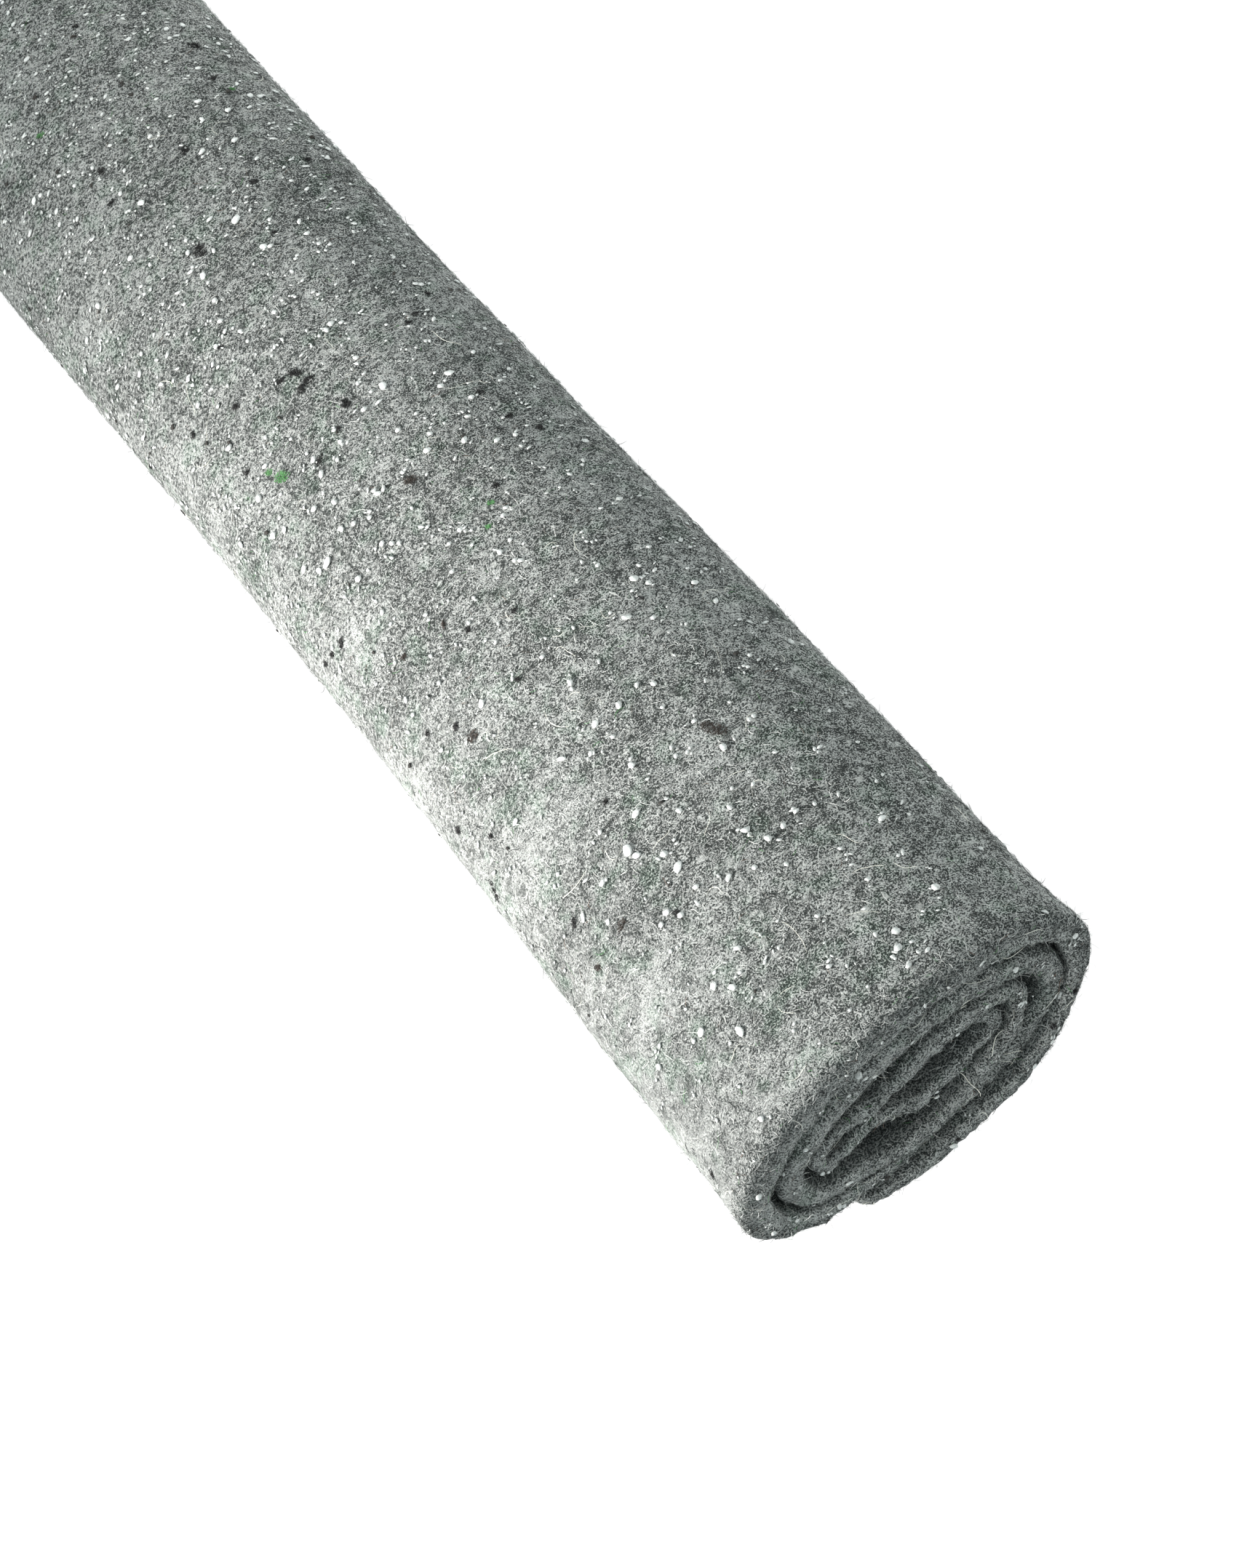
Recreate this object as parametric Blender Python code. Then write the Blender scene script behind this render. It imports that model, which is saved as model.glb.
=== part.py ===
"""A flattened roll of soft needled batting: one sheet wound a little over three turns, its layers just apart.

The roll lies along Y on the ground at Z = 0, with the end that shows its spiral at -Y.
"""
import math
from collections import namedtuple

import bmesh
import bpy

MM = 0.001
ROLL_LENGTH = 1.0       # along Y: the width that the sheet was cut to
ROLL_WIDTH = 0.1664     # the widest place of the near end
ROLL_HEIGHT = 0.0988
CUT_DEPTH = 0.006       # the cut edges thin out over this depth
CUT_THINNING = 0.72     # share of the thickness left at the very edge
FAR_SET_BACK = 0.6      # how far the layers telescope at the far end, against the near end
STATION_STEP = 11.0     # mm between stations along the sheet
STATION_TURN = 15.0     # degrees of bend between stations
SLACK_REACH = 0.38      # an arc's handles, as a share of its span, where its ends' tangents don't meet
FELT_GREY = (0.30, 0.32, 0.305, 1.0)

# The sheet's bends from its free outer end to its inner end. Each row is where the middle of the sheet stands
# across the roll and above the ground, the way it runs there in degrees (0 is to +X, 90 is up), its thickness,
# and how far its cut edge lies inside the roll's end. Lengths are in mm.
Bend = namedtuple("Bend", "name across up heading thickness set_back")
BENDS = (
    Bend("free end", -49.5, 15.6, -30, 5.0, 0.0),
    Bend("ground, left side", -15.0, 4.1, 0, 8.2, 0.0),
    Bend("ground, right side", 17.0, 4.1, 0, 8.2, 0.0),
    Bend("first right flank", 64.5, 27.2, 46, 7.6, 0.5),
    Bend("first right side", 77.2, 56.0, 90, 12.0, 1.0),
    Bend("first crown", 2.0, 91.8, 180, 14.0, 1.0),
    Bend("first left side", -76.6, 51.5, 270, 13.2, 1.0),
    Bend("first left flank", -60.0, 26.6, -36, 8.2, 0.5),
    Bend("over the free end", -43.0, 20.4, -17, 6.2, 1.5),
    Bend("second underside", 0.0, 11.9, 1, 6.0, 5.0),
    Bend("second right flank", 37.0, 18.6, 22, 8.0, 4.0),
    Bend("second right side", 61.8, 46.0, 90, 11.0, 2.0),
    Bend("second crown", 0.0, 74.2, 180, 10.4, 2.0),
    Bend("second left side", -60.0, 48.5, 270, 9.6, 2.5),
    Bend("second left flank", -50.0, 33.2, -12, 8.0, 1.5),
    Bend("third underside", -6.0, 20.2, 2, 7.0, 0.5),
    Bend("third right flank", 29.0, 28.5, 18, 7.6, 1.5),
    Bend("third right side", 48.2, 47.0, 90, 8.8, 3.0),
    Bend("third crown", 10.0, 59.2, 180, 10.0, 3.0),
    Bend("dip in the crown", -19.0, 54.0, 176, 8.0, 4.0),
    Bend("tongue, upper leaf", -36.0, 56.5, 184, 7.0, 4.0),
    Bend("tongue, fold", -48.0, 49.5, 270, 6.6, 4.0),
    Bend("tongue, lower leaf", -40.0, 43.0, 2, 6.2, 5.0),
    Bend("arch", -25.0, 45.4, 0, 6.0, 5.0),
    Bend("curl", -9.0, 37.0, -34, 6.5, 4.0),
    Bend("core floor, left", 6.0, 33.2, 0, 6.0, 5.0),
    Bend("core floor, right", 22.0, 35.0, 5, 5.8, 5.0),
    Bend("core fold", 36.0, 42.5, 90, 5.4, 5.0),
    Bend("inner end", 18.0, 50.0, 180, 5.0, 8.0),
)

# How the roll swells and sinks along its length: distance from the near end in m, and how far the left side,
# the right side and the crown stand out from the near end's own shape, in mm.
Swell = namedtuple("Swell", "along left right crown")
SWELLS = (
    Swell(0.000, 0.0, 0.0, 0.0),
    Swell(0.030, -0.6, -2.2, -0.5),
    Swell(0.090, -0.2, -1.2, 0.0),
    Swell(0.180, -1.5, -0.6, -0.8),
    Swell(0.300, -2.1, -1.5, -1.6),
    Swell(0.450, -1.2, -2.0, -1.0),
    Swell(0.560, 0.8, -0.9, 0.2),
    Swell(0.670, 3.0, 0.4, 0.8),
    Swell(0.820, 1.6, 3.0, 0.2),
    Swell(0.970, 0.2, 1.2, -0.4),
    Swell(1.000, 0.6, 0.8, 0.0),
)

Station = namedtuple("Station", "across up run_x run_z thickness set_back")


def direction(bend):
    """The way the sheet runs at a bend, as its steps across and up."""
    heading = math.radians(bend.heading)
    return math.cos(heading), math.sin(heading)


def handle_lengths(start, end):
    """How far a Bezier arc's handles reach from two bends: a quarter turn becomes a quarter of an ellipse."""
    ax, az = direction(start)
    bx, bz = direction(end)
    chord_x, chord_z = end.across - start.across, end.up - start.up
    span = math.hypot(chord_x, chord_z)
    cross = ax * bz - az * bx
    if abs(cross) > 0.05:
        to_corner = (chord_x * bz - chord_z * bx) / cross
        from_corner = (ax * chord_z - az * chord_x) / cross
        if min(to_corner, from_corner) > 0 and max(to_corner, from_corner) < 1.5 * span:
            turn = math.atan2(abs(cross), ax * bx + az * bz)
            share = 4 / 3 * math.tan(turn / 4) / math.tan(turn / 2)
            return share * to_corner, share * from_corner
    return SLACK_REACH * span, SLACK_REACH * span


def arc_stations(start, end):
    """Stations from one bend up to the next, which is left out."""
    ax, az = direction(start)
    bx, bz = direction(end)
    reach_a, reach_b = handle_lengths(start, end)
    corners = (
        (start.across, start.up),
        (start.across + reach_a * ax, start.up + reach_a * az),
        (end.across - reach_b * bx, end.up - reach_b * bz),
        (end.across, end.up),
    )
    span = sum(math.dist(a, b) for a, b in zip(corners, corners[1:]))
    turn = math.degrees(math.acos(max(-1.0, min(1.0, ax * bx + az * bz))))
    count = max(2, math.ceil(span / STATION_STEP), math.ceil(turn / STATION_TURN))
    stations = []
    for step in range(count):
        t = step / count
        s = 1 - t
        places = (s ** 3, 3 * s * s * t, 3 * s * t * t, t ** 3)
        across, up = (sum(w * c[axis] for w, c in zip(places, corners)) for axis in (0, 1))
        slopes = (s * s, 2 * s * t, t * t)
        run_x, run_z = (
            sum(w * (b[axis] - a[axis]) for w, a, b in zip(slopes, corners, corners[1:])) for axis in (0, 1)
        )
        length = math.hypot(run_x, run_z)
        ease = t * t * (3 - 2 * t)
        thickness = start.thickness + (end.thickness - start.thickness) * ease
        set_back = start.set_back + (end.set_back - start.set_back) * ease
        stations.append(Station(across, up, run_x / length, run_z / length, thickness, set_back))
    return stations


def sheet_stations():
    """The whole winding, from the free end to the inner end."""
    stations = []
    for start, end in zip(BENDS, BENDS[1:]):
        stations += arc_stations(start, end)
    last = BENDS[-1]
    stations.append(Station(last.across, last.up, *direction(last), last.thickness, last.set_back))
    return stations


def lengthwise_sections():
    """Each section's distance from the near end, its shares of the thickness and the set back, and its swell."""
    first, *middle, last = SWELLS
    yield 0.0, CUT_THINNING, 1.0, first
    yield CUT_DEPTH, 1.0, 1.0, first
    for swell in middle:
        yield swell.along * ROLL_LENGTH, 1.0, 0.0, swell
    yield ROLL_LENGTH - CUT_DEPTH, 1.0, -FAR_SET_BACK, last
    yield ROLL_LENGTH, CUT_THINNING, -FAR_SET_BACK, last


def placed(across, up, swell):
    """A point of the near end's shape, moved with the roll's swelling at one section, in metres."""
    side = swell.right if across > 0 else swell.left
    widen = 1 + side * MM / (ROLL_WIDTH / 2)
    raise_up = 1 + swell.crown * MM / ROLL_HEIGHT
    return across * MM * widen, up * MM * raise_up


def section_points(stations, distance, thinning, telescoping, swell):
    """The sheet's outer and inner faces at one section, as two rows of points."""
    outer, inner = [], []
    for station in stations:
        half = station.thickness * thinning / 2
        y = distance - ROLL_LENGTH / 2 + station.set_back * MM * telescoping
        for row, side in ((outer, 1), (inner, -1)):
            x, z = placed(
                station.across + side * half * station.run_z,
                station.up - side * half * station.run_x,
                swell,
            )
            row.append((x, y, z))
    return outer, inner


def wound_sheet(name, material):
    """The sheet as one closed solid: its sections along the roll, joined up and closed at the cut edges."""
    stations = sheet_stations()
    mesh = bmesh.new()
    rings = []
    for distance, thinning, telescoping, swell in lengthwise_sections():
        outer, inner = section_points(stations, distance, thinning, telescoping, swell)
        rings.append([mesh.verts.new(point) for point in outer + inner[::-1]])
    around = len(rings[0])
    for ring, following in zip(rings, rings[1:]):
        for k in range(around):
            after = (k + 1) % around
            mesh.faces.new((ring[k], ring[after], following[after], following[k]))
    for ring in (rings[0], rings[-1]):
        for k in range(len(stations) - 1):
            facing = around - 1 - k
            mesh.faces.new((ring[k], ring[k + 1], ring[facing - 1], ring[facing]))
    bmesh.ops.recalc_face_normals(mesh, faces=mesh.faces)
    data = bpy.data.meshes.new(name)
    mesh.to_mesh(data)
    mesh.free()
    data.shade_smooth()
    data.set_sharp_from_angle(angle=math.radians(40))
    data.materials.append(material)
    sheet = bpy.data.objects.new(name, data)
    bpy.context.scene.collection.objects.link(sheet)
    return sheet


def felt_material():
    """Grey recycled fibre felt, fully matt."""
    material = bpy.data.materials.new("grey_fibre_felt")
    material.use_nodes = True
    shader = material.node_tree.nodes["Principled BSDF"]
    shader.inputs["Base Color"].default_value = FELT_GREY
    shader.inputs["Roughness"].default_value = 0.95
    shader.inputs["Metallic"].default_value = 0.0
    return material


def main():
    for leftover in list(bpy.data.objects):
        bpy.data.objects.remove(leftover, do_unlink=True)
    wound_sheet("batting_sheet", felt_material())


main()
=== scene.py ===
"""Dresses the roll of batting: its wound sheet, the fibres and lint on it, and a plain studio."""
import math
from collections import namedtuple

import bmesh
import bpy
import numpy as np
from bpy.props import FloatProperty, FloatVectorProperty, IntProperty, PointerProperty
from mathutils import Matrix, Vector, noise
from mathutils.bvhtree import BVHTree


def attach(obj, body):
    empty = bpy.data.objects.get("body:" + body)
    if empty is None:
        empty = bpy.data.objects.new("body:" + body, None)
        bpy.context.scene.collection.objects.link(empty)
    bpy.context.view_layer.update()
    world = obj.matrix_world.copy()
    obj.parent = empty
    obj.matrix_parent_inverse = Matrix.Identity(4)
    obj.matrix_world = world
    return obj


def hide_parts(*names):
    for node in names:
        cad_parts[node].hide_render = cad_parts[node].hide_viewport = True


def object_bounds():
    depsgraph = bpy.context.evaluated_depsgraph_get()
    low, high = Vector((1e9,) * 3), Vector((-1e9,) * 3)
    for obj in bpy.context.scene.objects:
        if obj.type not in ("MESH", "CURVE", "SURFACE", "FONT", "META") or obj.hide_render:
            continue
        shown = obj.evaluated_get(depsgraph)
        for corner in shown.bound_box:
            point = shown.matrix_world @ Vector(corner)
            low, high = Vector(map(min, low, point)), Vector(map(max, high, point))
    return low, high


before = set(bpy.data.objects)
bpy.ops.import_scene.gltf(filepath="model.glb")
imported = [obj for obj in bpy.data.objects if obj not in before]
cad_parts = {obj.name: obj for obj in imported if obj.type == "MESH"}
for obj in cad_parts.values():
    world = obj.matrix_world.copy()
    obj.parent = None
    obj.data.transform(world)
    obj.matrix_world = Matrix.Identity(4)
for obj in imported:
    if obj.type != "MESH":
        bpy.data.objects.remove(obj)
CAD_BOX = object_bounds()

bl_info = {
    "name": "Roll of Batting",
    "version": (1, 0, 0),
    "blender": (4, 5, 0),
    "location": "3D View > Sidebar > Batting",
    "description": "Builds a flattened roll of grey needled batting with fibres and lint",
    "category": "Add Mesh",
}

MM = 0.001
SHEET_NODE = "batting_sheet"
CUT_SHADE = "cut_shade"  # the attribute that paints shade on the felt at its cuts and between its layers
ROLL_LENGTH = CAD_BOX[1].y - CAD_BOX[0].y
NEAR_END_WIDTH = 0.1664  # at its widest place
NEAR_END_HEIGHT = 0.0988
CLEAR_OF_FLOOR = 0.0002  # lint stays this far above the ground, and the floor as far below it

# The sheet's bends from its free outer end to its inner end, a little thicker in the second turn than the
# solid's: where its middle stands across and up, the way it runs in degrees (0 is to +X, 90 is up), its
# thickness, and how far its cut edge lies inside the roll's end. Lengths are in mm.
Bend = namedtuple("Bend", "name across up heading thickness set_back")
BENDS = (
    Bend("free end", -49.5, 15.6, -30, 5.0, 0.0),
    Bend("ground, left side", -15.0, 4.1, 0, 8.2, 0.0),
    Bend("ground, right side", 17.0, 4.1, 0, 8.2, 0.0),
    Bend("first right flank", 64.5, 27.2, 46, 7.6, 0.5),
    Bend("first right side", 77.2, 56.0, 90, 12.0, 1.0),
    Bend("first crown", 2.0, 91.8, 180, 14.0, 1.0),
    Bend("first left side", -76.6, 51.5, 270, 13.2, 1.0),
    Bend("first left flank", -60.0, 26.6, -36, 8.2, 0.5),
    Bend("over the free end", -43.0, 20.4, -17, 6.2, 1.5),
    Bend("second underside", 0.0, 11.9, 1, 6.0, 5.0),
    Bend("second right flank", 37.0, 18.6, 22, 8.0, 4.0),
    Bend("second right side", 63.4, 46.8, 90, 12.8, 2.0),
    Bend("second crown", 1.0, 76.4, 180, 12.4, 2.0),
    Bend("second left side", -60.5, 48.5, 270, 11.2, 2.5),
    Bend("second left flank", -50.0, 33.2, -12, 8.0, 1.5),
    Bend("third underside", -6.0, 20.2, 2, 7.0, 0.5),
    Bend("third right flank", 29.0, 28.5, 18, 7.6, 1.5),
    Bend("third right side", 48.2, 47.0, 90, 8.8, 3.0),
    Bend("third crown", 10.0, 59.2, 180, 10.0, 3.0),
    Bend("dip in the crown", -19.0, 54.0, 176, 8.0, 4.0),
    Bend("tongue, upper leaf", -36.0, 56.5, 184, 7.0, 4.0),
    Bend("tongue, fold", -48.0, 49.5, 270, 6.6, 4.0),
    Bend("tongue, lower leaf", -40.0, 43.0, 2, 6.2, 5.0),
    Bend("arch", -25.0, 45.4, 0, 6.0, 5.0),
    Bend("curl", -9.0, 37.0, -34, 6.5, 4.0),
    Bend("core floor, left", 6.0, 33.2, 0, 6.0, 5.0),
    Bend("core floor, right", 22.0, 35.0, 5, 5.8, 5.0),
    Bend("core fold", 36.0, 42.5, 90, 5.4, 5.0),
    Bend("inner end", 18.0, 50.0, 180, 5.0, 8.0),
)
LAST_OUTSIDE_BEND = 8  # up to here the sheet's outer face shows from outside

# How the roll swells and sinks: the share of its length from the near end, and how far the left side, the
# right side and the crown stand out there from the near end's own shape, in mm.
SWELLS = (
    (0.000, 0.0, 0.0, 0.0),
    (0.030, -0.6, -2.2, -0.5),
    (0.090, -0.2, -1.2, 0.0),
    (0.180, -1.5, -0.6, -0.8),
    (0.300, -2.1, -1.5, -1.6),
    (0.450, -1.2, -2.0, -1.0),
    (0.560, 0.8, -0.9, 0.2),
    (0.670, 3.0, 0.4, 0.8),
    (0.820, 1.6, 3.0, 0.2),
    (0.970, 0.2, 1.2, -0.4),
    (1.000, 0.6, 0.8, 0.0),
)
SLACK_REACH = 0.38  # an arc's handles, as a share of its span, where its ends' tangents don't meet
TELESCOPED_DEPTH = 0.030  # the layers' set back dies away over this depth
FAR_SET_BACK = 0.6  # how far the layers telescope at the far end, against the near end

OUTER_ROUNDING = 0.12  # the outside layer's cut edge curves over this share of its thickness
INNER_ROUNDING = 0.42  # and so do the inner layers'
ROUNDING_CHANGE = 12  # stations over which the one turns into the other
CUT_BLUNTNESS = 0.65  # below 1 the cut edge is flatter than a half round
CORNER_RADIUS = 7.0  # mm: the sheet's four corners are worn round
END_TAPER = 5.0  # mm: the sheet thins over this length to its free end and to its inner end,
THINNEST = 0.45  # where this share of its thickness is left
TURN_STEP = 9.0  # degrees of bend between the mesh's lines along the roll
ROUNDED_ROWS = (9, 24, 39, 54, 69, 81)  # degrees round a cut edge
NEAR_ROWS = (8.0, 10.0, 12.5, 15.5, 19.0, 23.0, 28.0, 34.0)  # mm from a cut edge

# Soft relief, as noises that add up: each one's share, its size in mm and its seed.
Relief = namedtuple("Relief", "share size seed")
LUMPS = (Relief(0.7, 34, 1), Relief(0.45, 12, 2), Relief(0.3, 5, 3))
CUT_WANDER = (Relief(0.5, 9, 4), Relief(0.7, 3.2, 5))
LIGHT_PATCHES = (Relief(0.5, 2.2, 11), Relief(0.6, 7, 12), Relief(0.6, 24, 13))
NOISE_SHIFT = (7.31, 3.17, 5.73)  # moves each seed's noise away from the others
CRUMPLES = (Relief(1, 6, 6),)
CRUMPLE_DEPTH = 18 * MM  # the cut edges are crumpled this far in
OUTSIDE_CRUMPLE = 0.6  # height of the crumples at the free end, against the lumps,
CORE_CRUMPLE = 2.8  # and how much more it is at the inner end
SOLE_HEIGHT = 6 * MM  # the lumps die away below this height
WANDER_DEPTH = 9 * MM  # the cut edges wander this far in,
WANDER_OUT = 0.6  # and stand out by this share of the wander

# Painted shade on the cut edges and in the gaps between the layers, where the end lies in shadow: how dark it
# is, from 0 to 1, and how deep the dark goes.
RIM_SHADE = 0.85  # on the outside layer's edge,
RIM_DEPTH = 2.6 * MM  # which is light again past this depth,
RIM_FADE = 1.4 * MM  # after fading over this one
CREST_SHADE = 0.18  # on the inner layers' edges
GAP_SHADE = 0.95  # in the gaps between the layers
GAP_DEPTH = 4.2 * MM  # depth of a whole step from light to dark
ON_CUT = 0.2  # felt with more painted shade than this counts as a cut face

# How thickly fibres cover what shows, against the outside.
CUT_COVER = 3.0  # on the outside layer's cut edge
GAP_COVER = 3.2  # on the inner layers and between them,
COVER_DEPTH = 9 * MM  # down to about this depth
SOLE_COVER = 0.25  # underneath,
SOLE_TOP = 3 * MM  # below this height

# The photograph's frame and the camera, which is turned to the left of the roll's own direction, dips towards
# the ground and is rolled clockwise, in degrees. Its focal length is in the photograph's pixels.
PHOTO_SIZE = (1725, 2156)
FOCAL_PIXELS = 4400
SENSOR_SIDE = 36.0
CAMERA_PLACE = Vector((0.0486, -1.0943, 1.0602))
CAMERA_TURN = 4.23
CAMERA_DIP = 51.96
CAMERA_ROLL = 46.02

# The felt's kinds of fibre: linear colour, share of all the fibres, width against the others', and how much
# each gathers where the felt is light (or dark, if negative), in the cut ends and towards the right side. The
# dark and grey fibres gathering towards the right side, away from the key light, and the dark ones in the
# shaded cut ends, are painted shade.
FibreTone = namedtuple("FibreTone", "name colour share width gathers at_cut to_right")
FIBRE_TONES = (
    FibreTone("pale", (0.68, 0.68, 0.66), 0.38, 1.0, 1.0, 0.2, 0.0),
    FibreTone("light", (0.40, 0.405, 0.39), 0.27, 1.0, 0.5, -0.5, 0.0),
    FibreTone("grey", (0.17, 0.18, 0.17), 0.14, 1.2, -0.3, -0.3, 2.0),
    FibreTone("dark", (0.014, 0.016, 0.015), 0.19, 1.5, -1.1, 1.9, 7.0),
    FibreTone("green", (0.09, 0.24, 0.09), 0.010, 1.2, 0.0, 0.0, 0.0),
    FibreTone("brown", (0.15, 0.10, 0.075), 0.010, 1.2, 0.0, 0.0, 0.0),
)

# Marks that stand out in the photograph: where they show in it, their length and width in its pixels, and how
# far their length is turned from its right towards its bottom, in degrees.
Mark = namedtuple("Mark", "photo_x photo_y long wide turn")
MARKS = {
    "black": (
        (405, 513, 25, 13, 30), (424, 523, 22, 12, 150), (414, 535, 16, 11, 70), (475, 555, 18, 14, 60),
        (340, 650, 10, 7, 0), (440, 632, 20, 7, 100), (660, 540, 12, 9, 40), (700, 572, 10, 9, 0),
        (742, 588, 11, 8, 30), (683, 668, 9, 7, 0), (470, 885, 20, 6, 85), (457, 900, 9, 7, 0),
        (644, 866, 11, 9, 60), (712, 935, 9, 7, 0), (588, 1008, 8, 8, 0), (627, 1000, 14, 10, 80),
        (833, 1103, 8, 7, 0), (932, 1258, 19, 11, 35), (790, 1268, 18, 8, 70), (675, 1150, 8, 7, 0),
        (304, 478, 9, 8, 0), (104, 36, 10, 8, 0), (292, 108, 10, 7, 20), (266, 598, 14, 7, 60),
        (350, 250, 12, 8, 0), (571, 432, 10, 7, 0), (1447, 1410, 14, 8, 40), (1478, 1362, 8, 5, 0),
        (1316, 1566, 6, 4, 30), (979, 1614, 15, 8, 60), (680, 1224, 34, 5, 58),
    ),
    "brown": (
        (565, 660, 22, 15, 0), (555, 903, 10, 8, 0), (982, 1002, 46, 18, 30), (855, 1272, 20, 13, 110),
        (823, 1330, 14, 11, 0),
    ),
    "green": (
        (388, 656, 30, 17, 10), (370, 650, 14, 9, 0), (675, 692, 10, 7, 0), (672, 724, 9, 6, 0),
        (57, 186, 14, 8, 0),
    ),
    "white": (
        (451, 774, 18, 12, 110), (440, 785, 12, 8, 30), (419, 783, 12, 9, 90), (470, 728, 12, 8, 30),
        (392, 729, 11, 8, 60), (862, 850, 16, 8, 10), (618, 514, 14, 9, 0), (527, 532, 15, 11, 60),
        (663, 968, 14, 10, 70), (819, 996, 13, 10, 80), (773, 1044, 15, 7, 5), (869, 1053, 12, 9, 40),
        (875, 1120, 15, 11, 120), (864, 1170, 20, 14, 50), (876, 1177, 14, 10, 0), (933, 1193, 18, 13, 100),
        (1002, 1208, 14, 8, 95), (1008, 1358, 14, 9, 20), (982, 1357, 13, 10, 60), (1018, 1418, 18, 12, 40),
        (965, 1420, 14, 11, 90), (837, 1268, 10, 7, 60), (803, 1262, 17, 7, 70), (710, 1130, 12, 8, 130),
        (917, 1255, 12, 10, 0), (325, 303, 16, 12, 100), (48, 277, 13, 8, 70), (363, 340, 13, 9, 30),
        (280, 380, 13, 9, 60), (195, 280, 12, 9, 20),
    ),
}
TUFT_COLOURS = {
    "black": (0.010, 0.009, 0.009),
    "brown": (0.040, 0.030, 0.024),
    "green": (0.100, 0.270, 0.095),
}
TUFTS_ELSEWHERE = {"black": 46, "brown": 9, "green": 2}  # more of them, scattered over the roll

# How long scattered lint is, in mm: at least, by how much more as a rule, and at most.
LintLength = namedtuple("LintLength", "least more most")
PALE_LENGTH = LintLength(1.2, 0.55, 4.4)
DARK_LENGTH = LintLength(0.8, 0.45, 3.5)
TUFT_LENGTH = LintLength(2.0, 1.0, 8.0)

# Fibres crowded into a spot: their width, how far they spread past it, how many they are at least, and how
# many more for each m2 of it.
Crowd = namedtuple("Crowd", "width spread least per_area")
TUFT = Crowd(0.34 * MM, 1.0, 26, 2.2e6)
HALO = Crowd(0.18 * MM, 1.3, 12, 1.0e6)

# The felt's colours, the colour of the shade painted on its cut faces and between its layers, and the ripple
# that bends its strands.
WHITE = (1.0, 1.0, 1.0)
GREEN_CAST = (0.66, 0.86, 0.72)
SMUDGE_COLOUR = (0.050, 0.056, 0.052)
WISP_COLOUR = (0.66, 0.66, 0.64)
PAINTED_SHADE_COLOUR = (0.014, 0.023, 0.023)
RIPPLE_SIZE = 1 / 90
RIPPLE_REACH = 4 * MM

# The studio's lights: their size, the angle that they spread over, their place and what they are aimed at.
SoftLight = namedtuple("SoftLight", "size spread place target")
LIGHTS = {
    "key": SoftLight((0.65, 0.3), 50, (-0.75, -0.25, 0.45), (0.0, -0.25, 0.05)),
    "side": SoftLight((0.4, 0.25), 70, (0.8, -0.6, 0.34), (0.0, -0.35, 0.05)),
    "far": SoftLight((0.4, 0.4), 80, (0.55, 0.45, 0.45), (0.0, 0.25, 0.05)),
}
LIGHT_COLOUR = (1.0, 0.98, 0.95)
SKY_COLOUR = (0.89, 1.0, 1.0, 1.0)
FLOOR_REACH = 15.0
FLOOR_GLOW = 0.95  # the floor is as evenly pale as a lit sweep


def length_setting(name, description, default):
    return FloatProperty(
        name=name, description=description, default=default, subtype="DISTANCE", unit="LENGTH"
    )


def colour_setting(name, description, default):
    return FloatVectorProperty(
        name=name, description=description, default=default, subtype="COLOR", min=0.0, max=1.0
    )


class FeltSettings(bpy.types.PropertyGroup):
    """The wound sheet's mesh and the colours of its matted ground."""

    station_step: length_setting("Step Round the Roll", "Between the mesh's lines along the roll", 3.0 * MM)
    row_step: length_setting("Step Along the Roll", "Between the mesh's lines round the roll", 12.0 * MM)
    lump_height: length_setting("Lump Height", "How far the felt's soft lumps rise and sink", 0.7 * MM)
    ragged_cut: length_setting("Ragged Cut", "How far the cut edges wander", 1.5 * MM)
    ground_colour: colour_setting("Ground", "The felt between its lighter fibres", (0.028, 0.032, 0.030))
    strand_colour: colour_setting("Strands", "The felt's lighter strands", (0.57, 0.575, 0.56))


class FibreSettings(bpy.types.PropertyGroup):
    """The fibres that lie on the felt and stand up from it."""

    matted_count: IntProperty(name="Matted Fibres", description="Fibres that lie on the felt", default=72000)
    stray_count: IntProperty(name="Stray Fibres", description="Fibres that stand off the felt", default=22000)
    hair_count: IntProperty(name="Long Hairs", description="Pale fibres loose on the felt", default=420)
    width: length_setting("Fibre Width", "Width of a fibre at its middle", 0.16 * MM)


class FleckSettings(bpy.types.PropertyGroup):
    """The flecks of lint caught in the felt."""

    pale_count: IntProperty(name="Pale Flecks", description="White flecks on the whole roll", default=6400)
    dark_count: IntProperty(name="Dark Flecks", description="Dark flecks on the whole roll", default=420)


class StageSettings(bpy.types.PropertyGroup):
    """The strength of the studio's lights, and its floor's colour."""

    key_power: FloatProperty(name="Key Light", description="Soft, on the left", default=2.6, unit="POWER")
    side_power: FloatProperty(name="Side Light", description="Low, on the right", default=0.28, unit="POWER")
    far_power: FloatProperty(name="Far Light", description="Over the far end", default=0.52, unit="POWER")
    sky_strength: FloatProperty(name="Sky", description="The even light all round", default=0.73)
    floor_colour: colour_setting("Floor", "The floor's colour", (0.12, 0.12, 0.12))


class Value:
    """A number that varies over a surface: a node's output, in expressions that add Math nodes."""

    def __init__(self, shading, socket):
        self.shading = shading
        self.socket = socket

    def math(self, operation, *others, clamp=False):
        inputs = dict(enumerate((self, *others)))
        return self.shading.node("ShaderNodeMath", {"operation": operation, "use_clamp": clamp}, inputs)

    def __add__(self, other):
        return self.math("ADD", other)

    def __mul__(self, other):
        return self.math("MULTIPLY", other)

    def __sub__(self, other):
        return self.math("SUBTRACT", other)

    def __rsub__(self, other):
        return self.math("MULTIPLY_ADD", -1.0, other)

    def __abs__(self):
        return self.math("ABSOLUTE")

    def clamped(self):
        return self.math("ADD", 0.0, clamp=True)

    def between(self, low, high):
        """0 below low, 1 above high, and a smooth rise between; low may be the larger."""
        return self.shading.node(
            "ShaderNodeMapRange",
            {"interpolation_type": "SMOOTHSTEP"},
            {"Value": self, "From Min": low, "From Max": high, "To Min": 0.0, "To Max": 1.0},
        )


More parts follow.
